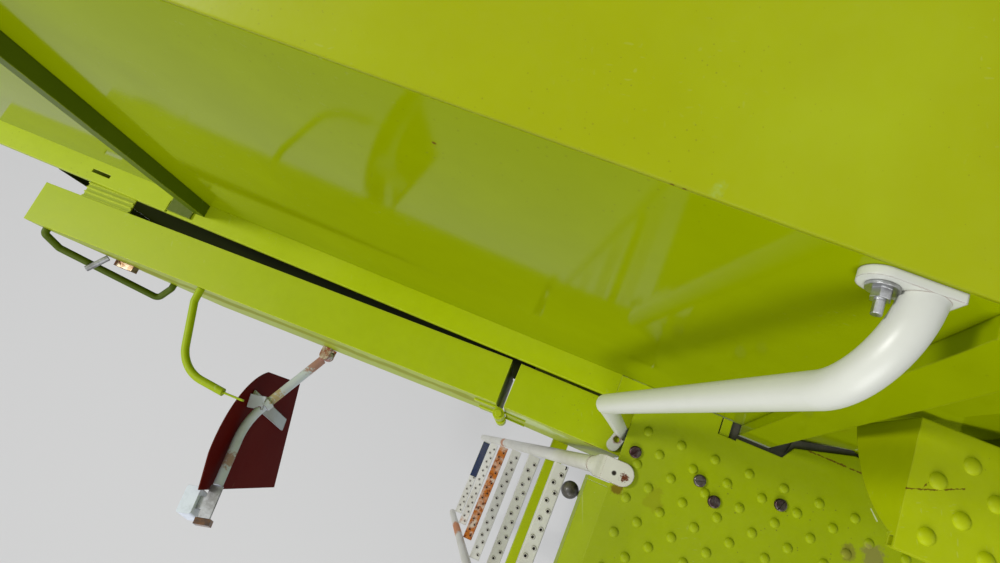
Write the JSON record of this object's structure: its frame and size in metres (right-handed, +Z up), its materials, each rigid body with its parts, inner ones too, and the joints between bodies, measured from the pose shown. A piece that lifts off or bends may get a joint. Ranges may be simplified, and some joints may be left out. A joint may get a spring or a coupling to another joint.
{
  "type": "boarding platform of a combine harvester",
  "caption": "Boarding platform with ladder, grab rail, hinged side guard and lamp arm on a stretch of a combine harvester's side wall.",
  "frame": {"origin": "centre of the four chassis bolt holes, on the back face of the mounting pads", "axes": "+X towards the machine's rear, +Y into the machine, along the bolts, +Z up"},
  "size_m": [1.62, 0.7562, 2.532],
  "materials": {
    "arm_white": "white paint with rust",
    "board_red": "dark red paint",
    "body_green": "glossy yellow-green paint",
    "deck_green": "worn yellow-green paint",
    "foot_blue": "dark blue paint",
    "frame_green": "dusty dark green paint",
    "guard_green": "weathered yellow-green paint",
    "handle_green": "green paint",
    "knob_black": "black plastic",
    "ladder_white": "worn white paint",
    "lamp_white": "white plastic",
    "latch_steel": "rusty zinc",
    "ledge_green": "semi-gloss yellow-green paint",
    "lens_amber": "amber plastic",
    "lever_black": "black paint",
    "pin_grey": "dull zinc",
    "post_green": "dark green paint",
    "rail_white": "white paint",
    "screw_steel": "worn zinc with rust",
    "seal_grey": "dark grey rubber",
    "side_dark": "dark dusty paint",
    "tread_rust": "rusty white paint"
  },
  "bodies": {
    "machine_side": {"corner_strip": "body_green", "deck_plate": "deck_green", "deck_rail": "frame_green", "deck_screws": "screw_steel", "deck_seal": "seal_grey", "front_deck_arm": "frame_green", "front_post": "frame_green", "grab_rail": "rail_white", "guard_bracket": "frame_green", "hinge_pins": "guard_green", "inner_stringer": "ladder_white", "ladder_carrier": "ledge_green", "ladder_foot_plate": "foot_blue", "ledge": "ledge_green", "ledge_post": "post_green", "ledge_stiffener": "frame_green", "lever": "lever_black", "lever_knob": "knob_black", "lower_rail": "frame_green", "lower_side": "side_dark", "middle_post": "frame_green", "mounting_pads": "frame_green", "outer_stringer": "ladder_white", "rail_bolt": "screw_steel", "rear_deck_arm": "frame_green", "rear_panel": "body_green", "rear_post": "frame_green", "rear_shoulder": "body_green", "short_guard": "guard_green", "shoulder_panel": "body_green", "side_wall": "body_green", "step_brackets": "frame_green", "top_rail": "frame_green", "tread_1": "ladder_white", "tread_2": "ladder_white", "tread_3": "ladder_white", "tread_4": "tread_rust", "tread_5": "ladder_white", "tread_6": "ladder_white", "upper_step": "deck_green"},
    "side_guard": {"guard_latch": "latch_steel", "guard_tray": "guard_green", "hinge_barrels": "guard_green", "hook_rod": "handle_green", "lock_pin": "pin_grey", "long_guard": "guard_green", "loop_handle": "handle_green", "marker_bracket": "latch_steel"},
    "marker": {"board_clamp": "arm_white", "lamp_body": "lamp_white", "lamp_bracket": "pin_grey", "lamp_lens": "lens_amber", "marker_arm": "arm_white", "marker_board": "board_red"}
  },
  "joints": [
    {"name": "guard_hinge", "type": "hinge", "parent": "machine_side", "child": "side_guard", "pos_m": [0.14928, -0.18911, 0.15], "axis": [0, 0, 1], "range_deg": [-1.75, 60]},
    {"name": "marker_pivot", "type": "hinge", "parent": "side_guard", "child": "marker", "pos_m": [-0.2, -0.206, -0.006], "axis": [0, 0, 1], "range_deg": [0, 85]}
  ]
}
